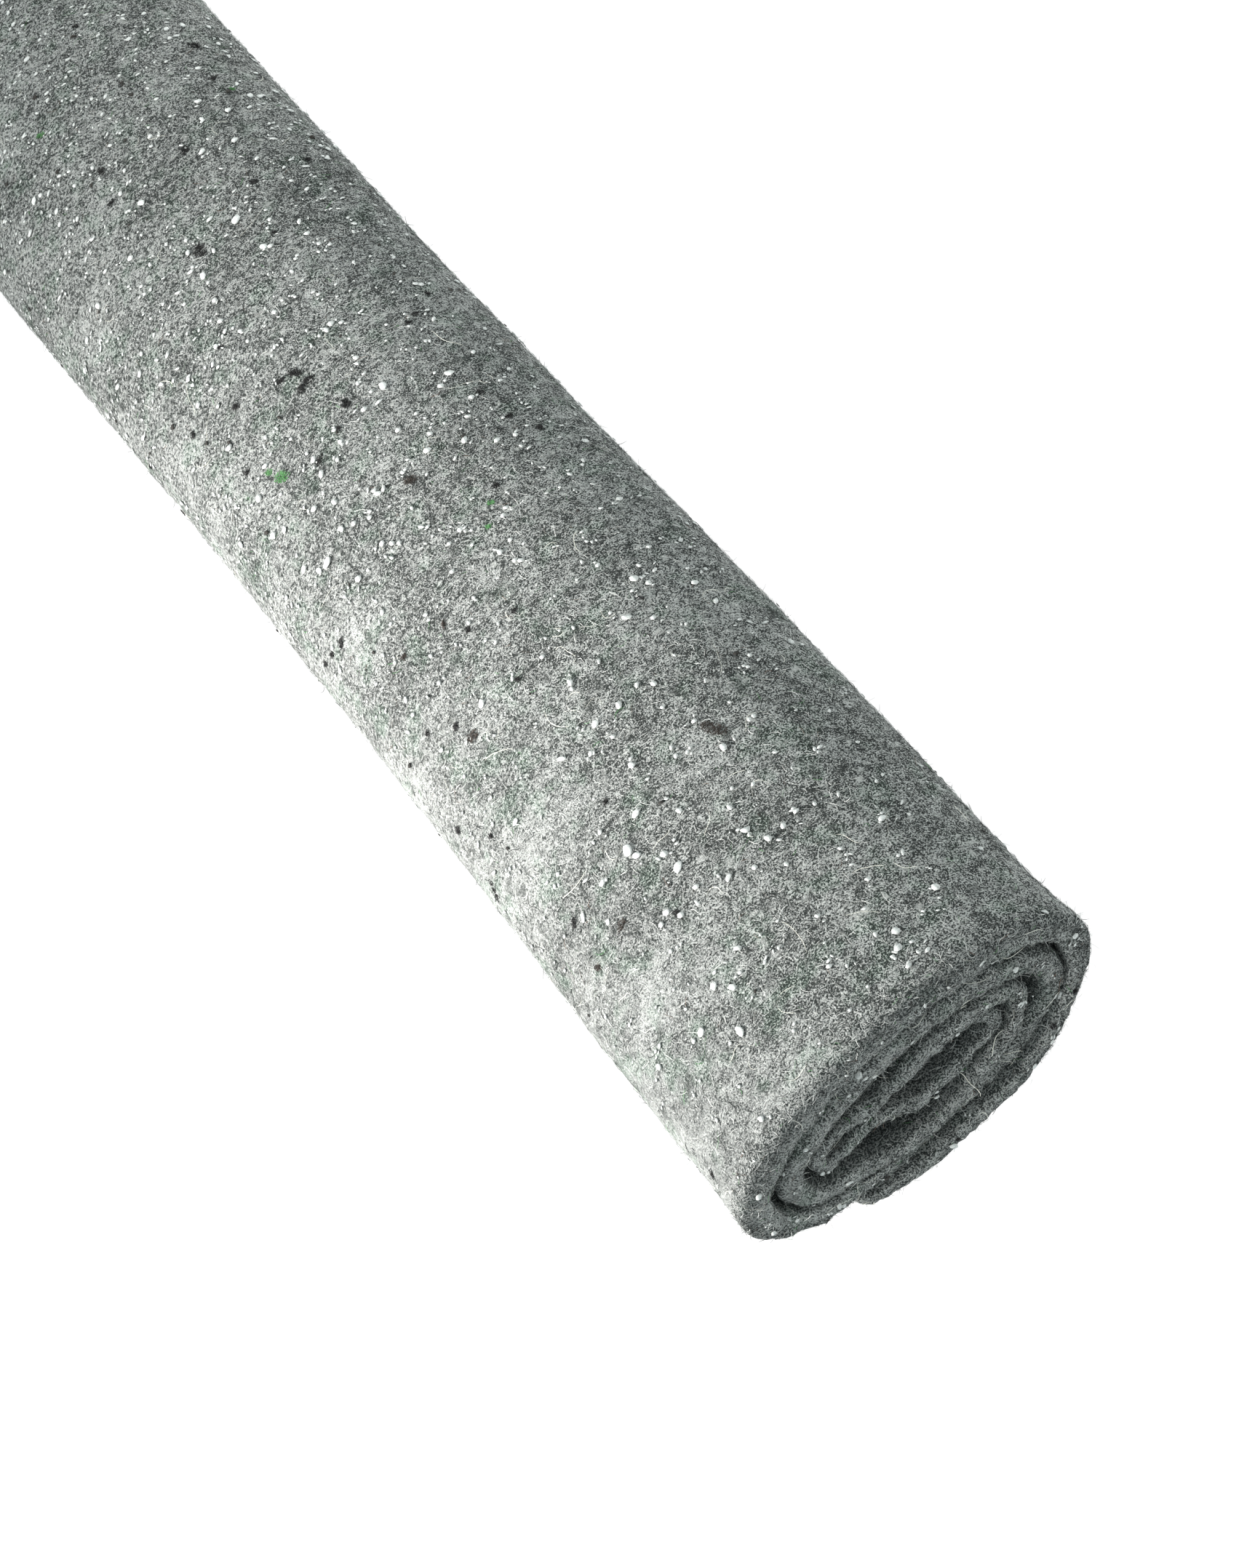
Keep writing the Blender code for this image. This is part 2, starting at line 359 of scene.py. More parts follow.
class Shading:
    """The nodes of one material."""

    def __init__(self, name):
        self.material = bpy.data.materials.new(name)
        self.material.use_nodes = True
        self.tree = self.material.node_tree
        self.surface = self.tree.nodes["Principled BSDF"]

    def node(self, kind, settings=None, inputs=None, output=0):
        """Adds a node and gives one of its outputs."""
        made = self.tree.nodes.new(kind)
        for name, setting in (settings or {}).items():
            setattr(made, name, setting)
        for name, given in (inputs or {}).items():
            self.feed(made.inputs[name], given)
        return Value(self, made.outputs[output])

    def feed(self, socket, given):
        if isinstance(given, Value):
            self.tree.links.new(given.socket, socket)
        else:
            socket.default_value = given

    def set(self, **sockets):
        """Feeds the surface's sockets, named with underscores for spaces."""
        for name, given in sockets.items():
            self.feed(self.surface.inputs[name.replace("_", " ")], given)
        return self

    def mix(self, factor, first, second, blend="MIX"):
        """A colour between two others."""
        mixed = self.node("ShaderNodeMix", {"data_type": "RGBA", "blend_type": blend}, {"Factor": factor})
        made = mixed.socket.node
        colours = [socket for socket in made.inputs if socket.type == "RGBA"]
        for socket, given in zip(colours, (first, second)):
            self.feed(socket, given if isinstance(given, Value) else (*given[:3], 1.0))
        return Value(self, next(socket for socket in made.outputs if socket.type == "RGBA"))

    def place(self):
        """The point of the object, in metres."""
        return self.node("ShaderNodeTexCoord", output="Object")

    def coordinate(self, place, axis):
        """One coordinate of a point, as a number."""
        return self.node("ShaderNodeSeparateXYZ", inputs={0: place}, output=axis)

    def moved(self, place, offset):
        return self.node("ShaderNodeMapping", {"vector_type": "POINT"}, {"Vector": place, "Location": offset})

    def noise(self, place, size, detail=2.0, rough=0.5, distortion=0.0, output=0):
        """Soft noise from 0 to 1 whose blotches are about size metres across."""
        inputs = {"Vector": place, "Scale": 1 / size, "Detail": detail}
        inputs |= {"Roughness": rough, "Distortion": distortion}
        return self.node("ShaderNodeTexNoise", {"noise_dimensions": "3D"}, inputs, output)

    def bump(self, height, depth, strength):
        """A normal from a height of 0 to 1 and the depth in metres that it stands for."""
        inputs = {"Strength": strength, "Distance": depth, "Height": height}
        return self.node("ShaderNodeBump", inputs=inputs, output="Normal")

    def strands(self, place, size, width, offset):
        """Thin winding lines, as of tangled fibres, from 0 to 1."""
        field = self.noise(self.moved(place, offset), size, detail=2.5, rough=0.55, distortion=1.0)
        return abs(field - 0.5).between(width, width * 0.2)


def direction(bend):
    """The way the sheet runs at a bend, as its steps across and up."""
    heading = math.radians(bend.heading)
    return math.cos(heading), math.sin(heading)


def handle_lengths(start, end):
    """How far an arc's handles reach from its two bends: a quarter turn becomes a quarter of an ellipse."""
    ax, az = direction(start)
    bx, bz = direction(end)
    chord_x, chord_z = end.across - start.across, end.up - start.up
    span = math.hypot(chord_x, chord_z)
    cross = ax * bz - az * bx
    if abs(cross) > 0.05:
        to_corner = (chord_x * bz - chord_z * bx) / cross
        from_corner = (ax * chord_z - az * chord_x) / cross
        if min(to_corner, from_corner) > 0 and max(to_corner, from_corner) < 1.5 * span:
            turn = math.atan2(abs(cross), ax * bx + az * bz)
            share = 4 / 3 * math.tan(turn / 4) / math.tan(turn / 2)
            return share * to_corner, share * from_corner
    return SLACK_REACH * span, SLACK_REACH * span


def winding(step):
    """Stations along the sheet, and how many of them its outer face shows from outside.

    Each is a row of its place across and up, its run across and up, its thickness and its set back, in mm.
    """
    rows = []
    outside = 0
    for index, (start, end) in enumerate(zip(BENDS, BENDS[1:])):
        if index == LAST_OUTSIDE_BEND:
            outside = sum(len(row) for row in rows)
        a, b = np.array(direction(start)), np.array(direction(end))
        reach_a, reach_b = handle_lengths(start, end)
        p0, p3 = np.array((start.across, start.up)), np.array((end.across, end.up))
        p1, p2 = p0 + reach_a * a, p3 - reach_b * b
        span = sum(math.dist(*pair) for pair in ((p0, p1), (p1, p2), (p2, p3)))
        turn = math.degrees(math.acos(max(-1.0, min(1.0, float(a @ b)))))
        count = max(3, math.ceil(span * MM / step), math.ceil(turn / TURN_STEP))
        t = np.linspace(0, 1, count, endpoint=False)[:, None]
        s = 1 - t
        place = s ** 3 * p0 + 3 * s * s * t * p1 + 3 * s * t * t * p2 + t ** 3 * p3
        run = s * s * (p1 - p0) + 2 * s * t * (p2 - p1) + t * t * (p3 - p2)
        run /= np.linalg.norm(run, axis=1)[:, None]
        ease = t * t * (3 - 2 * t)
        thickness = start.thickness + (end.thickness - start.thickness) * ease
        set_back = start.set_back + (end.set_back - start.set_back) * ease
        rows.append(np.hstack((place, run, thickness, set_back)))
    last = BENDS[-1]
    rows.append(np.array([(last.across, last.up, *direction(last), last.thickness, last.set_back)]))
    return np.vstack(rows), outside


def lengthwise_rows(step):
    """Rows over one face of the sheet, from the middle of its near cut edge to that of its far one.

    Each holds a distance from the near end, a share of the thickness, and 0. Where a row curves round a cut
    edge, the distance is a share of the rounding's depth there, and the last value is 1 near and -1 far.
    """
    angles = [math.radians(angle) for angle in ROUNDED_ROWS]
    curve = [(1 - math.cos(angle), math.sin(angle) ** CUT_BLUNTNESS) for angle in angles]
    near = [distance * MM for distance in NEAR_ROWS]
    far = [ROLL_LENGTH - distance for distance in reversed(near)]
    start, stop = near[-1], far[0]
    count = round((stop - start) / step)
    middle = [start + (stop - start) * index / count for index in range(1, count)]
    rows = [(*row, 1) for row in curve]
    rows += [(distance, 1.0, 0) for distance in near + middle + far]
    rows += [(*row, -1) for row in reversed(curve)]
    return np.array(rows)


def swollen(across, up, along):
    """Moves points of the near end's shape out with the roll's swelling at their place along it."""
    places, *swells = zip(*SWELLS)
    left, right, crown = (np.interp(along / ROLL_LENGTH, places, swell) for swell in swells)
    side = np.where(across > 0, right, left) * MM
    return across * (1 + side / (NEAR_END_WIDTH / 2)), up * (1 + crown * MM / NEAR_END_HEIGHT)


def soft_noise(points, size, seed):
    """Smooth noise from about -1 to 1 at each point, with lumps about size metres across."""
    shift = Vector([seed * part for part in NOISE_SHIFT])
    flat = points.reshape(-1, 3) / size
    values = np.fromiter((noise.noise(Vector(p) + shift) for p in flat), float, len(flat))
    return values.reshape(points.shape[:-1])


def relief(points, layers):
    """Several soft noises added up."""
    return sum(layer.share * soft_noise(points, layer.size * MM, layer.seed) for layer in layers)


class WoundSheet:
    """The sheet's surface as a grid: a row for each station along it, and in each a loop round the sheet."""

    def __init__(self, settings):
        stations, self.outside = winding(settings.station_step)
        half = lengthwise_rows(settings.row_step)
        rows = np.vstack((half, half[::-1]))
        self.half_loop = len(half)
        side = np.where(np.arange(len(rows)) < self.half_loop, 1.0, -1.0)
        across, up, run_x, run_z, thickness, set_back = (stations[:, i, None] for i in range(6))
        taper = self.end_taper(stations)
        thick = thickness * taper * MM
        distance, share, edge = (rows[None, :, i] for i in range(3))
        inside = np.clip((np.arange(len(stations))[:, None] - self.outside) / ROUNDING_CHANGE, 0, 1)
        rounding = OUTER_ROUNDING + (INNER_ROUNDING - OUTER_ROUNDING) * inside
        depth = np.where(edge == 0, distance, distance * rounding * thick)
        along = np.where(edge < 0, ROLL_LENGTH - depth, depth)
        near_fade = np.clip(1 - along / TELESCOPED_DEPTH, 0, 1)
        far_fade = np.clip(1 - (ROLL_LENGTH - along) / TELESCOPED_DEPTH, 0, 1)
        corner = self.worn_corners(stations) * MM
        set_back = set_back * MM
        y = along + (set_back + corner) * near_fade - (FAR_SET_BACK * set_back + corner) * far_fade
        offset = side * share * thick / 2
        x = across * MM + offset * run_z
        z = up * MM - offset * run_x
        x, z = swollen(x, z, along)
        self.points = np.stack((x, y - ROLL_LENGTH / 2, z), axis=-1)
        self.out = np.stack(np.broadcast_arrays(run_z, 0 * x, -run_x), axis=-1)
        self.from_edge = np.minimum(along, ROLL_LENGTH - along)
        self.cut_shade = self.shade_cuts()
        self.roughen(settings)

    def shade_cuts(self):
        """How much shade is painted on the felt at each point, from 0 on the outside to nearly 1 between the
        layers.
        """
        stations, around = (np.arange(count) for count in self.points.shape[:2])
        outside = (stations[:, None] < self.outside) & (around[None, :] < self.half_loop)
        outer = RIM_SHADE * np.clip((RIM_DEPTH - self.from_edge) / RIM_FADE, 0, 1)
        inner = np.clip(CREST_SHADE + self.from_edge / GAP_DEPTH, 0, GAP_SHADE)
        return np.where(outside, outer, inner)

    def from_ends(self, stations):
        """How far each station lies from the nearer of the sheet's free end and its inner end, in mm."""
        steps = np.hypot(*np.diff(stations[:, :2], axis=0).T)
        run = np.concatenate(((0.0,), np.cumsum(steps)))
        return np.minimum(run, run[-1] - run)[:, None]

    def end_taper(self, stations):
        """Thins the sheet over the last few mm before its free end and its inner end."""
        share = np.clip(self.from_ends(stations) / END_TAPER, 0, 1)
        return THINNEST + (1 - THINNEST) * np.sin(share * math.pi / 2)

    def worn_corners(self, stations):
        """How far the cut edges draw back beside the sheet's corners, in mm."""
        short = np.clip(CORNER_RADIUS - self.from_ends(stations), 0, CORNER_RADIUS)
        return CORNER_RADIUS - np.sqrt(CORNER_RADIUS ** 2 - short ** 2)

    def roughen(self, settings):
        """Raises soft lumps on the felt and lets its cut edges wander."""
        points = self.points
        lumps = relief(points, LUMPS)
        inward = np.linspace(0, 1, len(points))[:, None]
        crumples = (OUTSIDE_CRUMPLE + CORE_CRUMPLE * inward) * relief(points, CRUMPLES)
        lumps += crumples * np.clip(1 - self.from_edge / CRUMPLE_DEPTH, 0, 1)
        clear = np.clip(points[..., 2] / SOLE_HEIGHT, 0, 1)
        moved = points + self.out * (lumps * clear * settings.lump_height)[..., None]
        near_cut = np.clip(1 - self.from_edge / WANDER_DEPTH, 0, 1)
        inwards = np.where(points[..., 1] < 0, 1.0, -1.0)
        moved[..., 1] += (relief(points, CUT_WANDER) - WANDER_OUT) * near_cut * inwards * settings.ragged_cut
        moved[..., 2] = np.maximum(moved[..., 2], 0.0)
        self.points = moved

    def faces(self):
        """Every face of the closed sheet, as corners in the grid counted row by row."""
        stations, around = self.points.shape[:2]
        index = np.arange(stations * around).reshape(stations, around)
        here, ahead = index[:-1], index[1:]
        skin = np.stack((here, np.roll(here, -1, axis=1), np.roll(ahead, -1, axis=1), ahead), axis=-1)
        half = np.arange(self.half_loop - 1)
        facing = around - 1 - half
        first, last = index[0], index[-1]
        free_end = np.stack((first[half], first[facing], first[facing - 1], first[half + 1]), axis=-1)
        inner_end = np.stack((last[half], last[half + 1], last[facing - 1], last[facing]), axis=-1)
        return np.concatenate((skin.reshape(-1, 4), free_end, inner_end))

    def visible_faces(self):
        """The grid's faces, and how thickly fibres cover each."""
        stations, around = self.points.shape[:2]
        skin = self.faces()[: (stations - 1) * around]
        station, place = np.divmod(np.arange(len(skin)), around)
        outside = (station < self.outside) & (place < self.half_loop)
        depth = self.from_edge.reshape(-1)[skin[:, 0]]
        in_gaps = GAP_COVER * np.clip(1.15 - depth / COVER_DEPTH, 0, 1)
        underneath = self.points.reshape(-1, 3)[skin[:, 0], 2] < SOLE_TOP
        on_cut = self.cut_shade.reshape(-1)[skin[:, 0]] > ON_CUT
        outer = np.where(underneath, SOLE_COVER, np.where(on_cut, CUT_COVER, 1.0))
        return skin, np.where(outside, outer, in_gaps)


def flat_row(values, kind):
    return np.ascontiguousarray(values, dtype=kind).ravel()


def mesh_piece(name, points, faces, material, shade=None):
    """A smooth mesh that rides with the roll, from arrays of points and of faces of like corners."""
    mesh = bpy.data.meshes.new(name)
    corners = faces.shape[1]
    mesh.vertices.add(len(points))
    mesh.vertices.foreach_set("co", flat_row(points, np.float32))
    mesh.loops.add(faces.size)
    mesh.loops.foreach_set("vertex_index", flat_row(faces, np.int32))
    mesh.polygons.add(len(faces))
    mesh.polygons.foreach_set("loop_start", np.arange(0, faces.size, corners, dtype=np.int32))
    mesh.update(calc_edges=True)
    if shade is not None:
        layer = mesh.attributes.new(CUT_SHADE, "FLOAT", "POINT")
        layer.data.foreach_set("value", flat_row(shade, np.float32))
    mesh.shade_smooth()
    mesh.materials.append(material)
    piece = bpy.data.objects.new(name, mesh)
    bpy.context.scene.collection.objects.link(piece)
    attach(piece, "root")
    return piece


def felt_material(settings):
    """Grey felt: a dark matted ground under tangles of lighter strands, in soft patches and mottles.

    Painted light and shade: it is lighter on the left side, towards the key light, its marks are darker and
    stronger on the right side, away from it, and its pits stronger at the far end; its cut faces and the gaps
    between its layers are painted with shade.
    """
    shading = Shading("grey_fibre_felt_ground")
    place = shading.place()
    across = shading.coordinate(place, "X")
    along = shading.coordinate(place, "Y")
    cut_shade = shading.node("ShaderNodeAttribute", {"attribute_name": CUT_SHADE}, output="Fac")
    ripple = shading.noise(place, RIPPLE_SIZE, output="Color")
    bend = {0: ripple, 1: (RIPPLE_REACH,) * 3, 2: place}
    bent = shading.node("ShaderNodeVectorMath", {"operation": "MULTIPLY_ADD"}, bend)
    coarse = shading.strands(bent, 3.0 * MM, 0.020, (0.0, 0.0, 0.0))
    middling = shading.strands(bent, 1.9 * MM, 0.030, (0.31, 0.17, 0.23))
    fine = shading.strands(bent, 1.2 * MM, 0.045, (0.67, 0.41, 0.59))
    tangle = (coarse + middling * 0.85 + fine * 0.7).clamped()
    patches = shading.noise(place, 38 * MM, detail=3.0, rough=0.55)
    mottles = shading.noise(place, 5.5 * MM, detail=3.0, rough=0.62)
    pits = shading.noise(shading.moved(place, (0.4, 0.6, 0.1)), 1.5 * MM, detail=1.0, rough=0.6)
    grain = shading.noise(place, 0.68 * MM, detail=1.0, rough=0.6)
    # Painted light and shade: the marks deepen towards the right side, away from the key light, and on the
    # shaded cut faces, and the felt is lighter towards the left, where the key light falls.
    mottle_depth = across * 14.0 + 1.9
    pit_depth = (along + 0.5) * 4.0 + 0.6
    grain_depth = across * 36.0 + cut_shade * 10.0 + 4.2
    lightness = (
        (mottles - 0.5) * mottle_depth
        + (patches - 0.5) * 1.1
        + (pits - 0.5) * pit_depth
        + (grain - 0.5) * grain_depth
        + tangle * 0.5
        - across * 1.5
        + 0.20
    ).clamped()
    colour = shading.mix(lightness, settings.ground_colour, settings.strand_colour)
    tint = shading.noise(shading.moved(place, (0.9, 0.2, 0.4)), 15 * MM, detail=3.0)
    green = tint.between(0.50, 0.66) * (1.15 - lightness) * 0.9
    colour = shading.mix(1.0, colour, shading.mix(green, WHITE, GREEN_CAST), blend="MULTIPLY")
    smudge = shading.noise(shading.moved(place, (0.1, 0.8, 0.6)), 8 * MM, detail=3.0, rough=0.6)
    colour = shading.mix(smudge.between(0.56, 0.72) * 0.6, colour, SMUDGE_COLOUR)
    wisps = shading.noise(shading.moved(place, (0.5, 0.3, 0.7)), 5 * MM)
    # Part of the painted shade: more pale wisps towards the right side, away from the key light, where the
    # marks are painted stronger.
    colour = shading.mix(wisps.between(0.62, 0.76) * (across * 4.0 + 0.5), colour, WISP_COLOUR)
    # Painted shade: the cut faces and the gaps between the layers darken towards the shade colour.
    colour = shading.mix(cut_shade * 0.60, colour, PAINTED_SHADE_COLOUR)
    bump = shading.bump(tangle * 0.5 + grain * 1.1 + mottles * 0.9, 1.0 * MM, 0.8)
    return shading.set(Base_Color=colour, Roughness=0.95 - tangle * 0.08, Normal=bump).material


def fibre_material(name, colour):
    """One fibre's plain dyed colour, fully matt."""
    shading = Shading(name)
    return shading.set(Base_Color=(*colour, 1.0), Roughness=0.8).material


def fleck_material(name, ground, light, size):
    """Lint: a soft knot of fibre, lighter where it is tightly balled, and with painted light towards the far
    end, away from the key light.
    """
    shading = Shading(name)
    place = shading.place()
    strands = shading.strands(place, size, 0.08, (0.2, 0.5, 0.3))
    cloud = shading.noise(place, size * 0.6)
    # Painted light: the lint is made lighter towards the far end.
    painted_far_light = shading.coordinate(place, "Y").between(-0.35, 0.15)
    knot = strands * 0.5 + cloud * 0.5 + painted_far_light * 0.45 - 0.12
    colour = shading.mix(knot.clamped(), ground, light)
    return shading.set(Base_Color=colour, Roughness=0.9, Normal=shading.bump(cloud, 0.3 * MM, 0.6)).material


Sample = namedtuple("Sample", "points normals at_edge cut_shade")


def picked(pool, likely, count, rng):
    """Some of a pool of places, the likelier ones more often."""
    kept = rng.choice(len(likely), size=count, replace=False, p=likely / likely.sum())
    return Sample(*(part[kept] for part in pool))


def sample_tone(sheet, count, rng, tone):
    """Random places on what shows of the sheet, more of them where one kind of fibre gathers."""
    pool = sample_surface(sheet, 3 * count, rng)
    across = pool.points[:, 0]
    # Painted shade: the light patches sway more towards the right side, away from the key light, and dark
    # fibres gather on the shaded cut faces and towards the right.
    patches = np.clip(relief(pool.points, LIGHT_PATCHES), -1.2, 1.2) * (1 + 5 * across)
    likely = np.exp(tone.gathers * patches + tone.at_cut * pool.cut_shade + tone.to_right * across)
    return picked(pool, likely, count, rng)


def sample_surface(sheet, count, rng):
    """Random places on what shows of the sheet, and the way its surface faces there."""
    skin, cover = sheet.visible_faces()
    corners = sheet.points.reshape(-1, 3)[skin]
    facing = np.cross(corners[:, 2] - corners[:, 0], corners[:, 3] - corners[:, 1])
    area = np.linalg.norm(facing, axis=1)
    weight = area * cover
    chosen = rng.choice(len(skin), size=count, p=weight / weight.sum())
    a, b = rng.random((2, count, 1))
    c = corners[chosen]
    points = (1 - a) * (1 - b) * c[:, 0] + a * (1 - b) * c[:, 1] + a * b * c[:, 2] + (1 - a) * b * c[:, 3]
    normals = facing[chosen] / np.maximum(area[chosen], 1e-12)[:, None]
    from_edge = sheet.from_edge.reshape(-1)[skin[chosen, 0]]
    return Sample(points, normals, from_edge < 6 * MM, sheet.cut_shade.reshape(-1)[skin[chosen, 0]])


def tangents(normals, rng):
    """A random direction along the surface at each place, and the one square to it."""
    along = np.cross(normals, rng.normal(size=normals.shape))
    along /= np.linalg.norm(along, axis=1)[:, None]
    return along, np.cross(normals, along)


def ribbons(centres, sides):
    """Joins each fibre's line of points into a flat strip: its points and its faces."""
    count, steps = centres.shape[:2]
    points = np.stack((centres + sides, centres - sides), axis=2).reshape(-1, 3)
    points[:, 2] = np.maximum(points[:, 2], CLEAR_OF_FLOOR)
    first = (np.arange(count) * steps * 2)[:, None] + np.arange(steps - 1) * 2
    faces = np.stack((first, first + 1, first + 3, first + 2), axis=-1).reshape(-1, 4)
    return points, faces


def fibre_lines(sample, rng, length, turning, rise, rooted=False):
    """Each fibre's curling line of points, about its place or rooted there, and lifted by its rise."""
    along, beside = tangents(sample.normals, rng)
    steps = rise.shape[1] - 1
    middle = (np.arange(steps) + 0.5) / steps
    kink = rng.normal(0, 0.45, len(length))
    heading = turning[:, None] * (middle - 0.5) + kink[:, None] * np.sin(2 * math.pi * middle)
    stride = (length / steps)[:, None]
    start = np.zeros((len(length), 1))
    run = np.hstack((start, np.cumsum(np.cos(heading) * stride, axis=1)))
    bow = np.hstack((start, np.cumsum(np.sin(heading) * stride, axis=1)))
    if not rooted:
        run -= run.mean(axis=1)[:, None]
        bow -= bow.mean(axis=1)[:, None]
    line = sample.points[:, None] + run[..., None] * along[:, None] + bow[..., None] * beside[:, None]
    line += rise[..., None] * sample.normals[:, None]
    return line, along, beside


def fibre_sides(sample, rng, width, profile, along, beside, tilt):
    """From each point of a fibre's line to its ribbon's edge."""
    count = len(sample.points)
    half = width / 2 * rng.uniform(0.6, 1.35, count)[:, None] * np.array(profile)
    facing = rng.uniform(0, 2 * math.pi, count)[:, None]
    level = np.cos(facing) * along + np.sin(facing) * beside
    side = np.cos(tilt)[:, None] * level + np.sin(tilt)[:, None] * sample.normals
    return half[..., None] * side[:, None]


def matted_fibres(sample, width, rng):
    """Fibres that lie curled on the felt, their middles just clear of it and their ends sunk in."""
    count = len(sample.points)
    length = rng.uniform(3.0, 8.0, count) * MM * np.where(sample.at_edge, 0.6, 1.0)
    turning = rng.normal(0, 2.0, count)
    lift = rng.uniform(-0.05, 0.32, count) * MM
    arch = rng.uniform(0.1, 0.6, count) * MM
    t = np.linspace(-0.5, 0.5, 4)
    rise = lift[:, None] + arch[:, None] * (0.6 - 4 * t * t)
    line, along, beside = fibre_lines(sample, rng, length, turning, rise)
    tilt = rng.normal(0, 0.45, count)
    return line, fibre_sides(sample, rng, width, (0.5, 1.0, 1.0, 0.5), along, beside, tilt)


def stray_fibres(sample, width, rng):
    """Fibres rooted in the felt whose tips stand off it."""
    count = len(sample.points)
    length = np.minimum(rng.gamma(3.0, 0.9, count) + 1.0, 7.0) * MM
    turning = rng.normal(0, 1.3, count)
    tip = np.minimum(rng.gamma(2.0, 0.62, count), 4.0) * MM
    t = np.linspace(0, 1, 5)
    rise = tip[:, None] * t ** 1.4 - 0.15 * MM
    line, along, beside = fibre_lines(sample, rng, length, turning, rise, rooted=True)
    tilt = rng.uniform(0, math.pi, count)
    return line, fibre_sides(sample, rng, width, (1.0, 1.0, 0.85, 0.7, 0.4), along, beside, tilt)


def long_hairs(sample, width, rng):
    """Long pale fibres that curl over the others."""
    count = len(sample.points)
    length = rng.uniform(9.0, 20.0, count) * MM
    turning = rng.normal(0, 2.4, count)
    t = np.linspace(-0.5, 0.5, 11)
    rise = (0.25 + rng.uniform(0.1, 0.7, count)[:, None] * (1 - 4 * t * t)) * MM
    line, along, beside = fibre_lines(sample, rng, length, turning, rise)
    tilt = rng.normal(0, 0.4, count)
    profile = (0.5, *(1.0,) * 9, 0.5)
    return line, fibre_sides(sample, rng, width, profile, along, beside, tilt)


def camera_axes():
    """The ways that are right, down and ahead in the photograph."""
    turn, dip, roll = (math.radians(angle) for angle in (CAMERA_TURN, CAMERA_DIP, CAMERA_ROLL))
    ahead = Vector((-math.sin(turn) * math.cos(dip), math.cos(turn) * math.cos(dip), -math.sin(dip)))
    level = Vector((math.cos(turn), math.sin(turn), 0.0))
    right = level * math.cos(roll) + ahead.cross(level) * math.sin(roll)
    return right, ahead.cross(right), ahead


Spot = namedtuple("Spot", "place normal lengthwise long wide")


def marked_spots(sheet, kind):
    """Where the marks of one kind lie on the felt, with their sizes in metres."""
    skin = BVHTree.FromPolygons(sheet.points.reshape(-1, 3).tolist(), sheet.faces().tolist())
    right, down, ahead = camera_axes()
    spots = []
    for mark in map(Mark._make, MARKS[kind]):
        beside = (mark.photo_x - PHOTO_SIZE[0] / 2) / FOCAL_PIXELS
        below = (mark.photo_y - PHOTO_SIZE[1] / 2) / FOCAL_PIXELS
        ray = (right * beside + down * below + ahead).normalized()
        place, normal, _, distance = skin.ray_cast(CAMERA_PLACE, ray)
        if place is None:
            raise ValueError(f"the {kind} mark at {mark.photo_x}, {mark.photo_y} misses the roll")
        turn = math.radians(mark.turn)
        run = right * math.cos(turn) + down * math.sin(turn)
        run = (run - normal * run.dot(normal)).normalized()
        scale = distance / FOCAL_PIXELS
        where = (np.array(way) for way in (place, normal, run))
        spots.append(Spot(*where, mark.long * scale, mark.wide * scale))
    return spots


def scattered_spots(sheet, count, rng, length):
    """Random spots of lint on the felt, fewer towards the near end and on the cut faces."""
    pool = sample_surface(sheet, 2 * count, rng)
    likely = np.where(pool.cut_shade > ON_CUT, 0.03, 1.0)
    likely *= 0.6 + np.clip(1.2 + pool.points[:, 1] / 0.25, 0, 2)
    sample = picked(pool, likely, count, rng)
    run, _ = tangents(sample.normals, rng)
    long = np.minimum(length.least + rng.gamma(2.0, length.more, count), length.most) * MM
    wide = long * rng.uniform(0.35, 0.9, count)
    return [Spot(*row) for row in zip(sample.points, sample.normals, run, long, wide)]


def tufts(spots, rng, crowd):
    """Short fibres crowded into each spot and thinning out at its rim."""
    parts = []
    for spot in spots:
        count = int(crowd.least + crowd.per_area * spot.long * spot.wide)
        reach = rng.random(count) ** 0.62 * 0.5 * crowd.spread
        angle = rng.uniform(0, 2 * math.pi, count)
        beside = np.cross(spot.normal, spot.lengthwise)
        points = spot.place + np.outer(reach * np.cos(angle) * spot.long, spot.lengthwise)
        points += np.outer(reach * np.sin(angle) * spot.wide, beside)
        normals = np.tile(spot.normal, (count, 1))
        parts.append(Sample(points, normals, np.zeros(count, bool), np.zeros(count)))
    sample = Sample(*(np.concatenate(field) for field in zip(*parts)))
    count = len(sample.points)
    length = rng.uniform(0.8, 2.6, count) * MM
    lift = rng.uniform(0.1, 0.75, count)[:, None]
    arch = rng.uniform(0, 0.4, count)[:, None]
    t = np.linspace(-0.5, 0.5, 4)
    rise = (lift + arch * (0.5 - 4 * t * t)) * MM
    line, along, beside = fibre_lines(sample, rng, length, rng.normal(0, 1.8, count), rise)
    tilt = rng.normal(0, 0.4, count)
    return line, fibre_sides(sample, rng, crowd.width, (0.5, 1.0, 1.0, 0.5), along, beside, tilt)


def blob_shape(divisions):
    """A small ball's points and faces."""
    ball = bmesh.new()
    bmesh.ops.create_icosphere(ball, subdivisions=divisions, radius=1.0)
    points = np.array([vertex.co[:] for vertex in ball.verts])
    faces = np.array([[vertex.index for vertex in face.verts] for face in ball.faces])
    ball.free()
    return points, faces


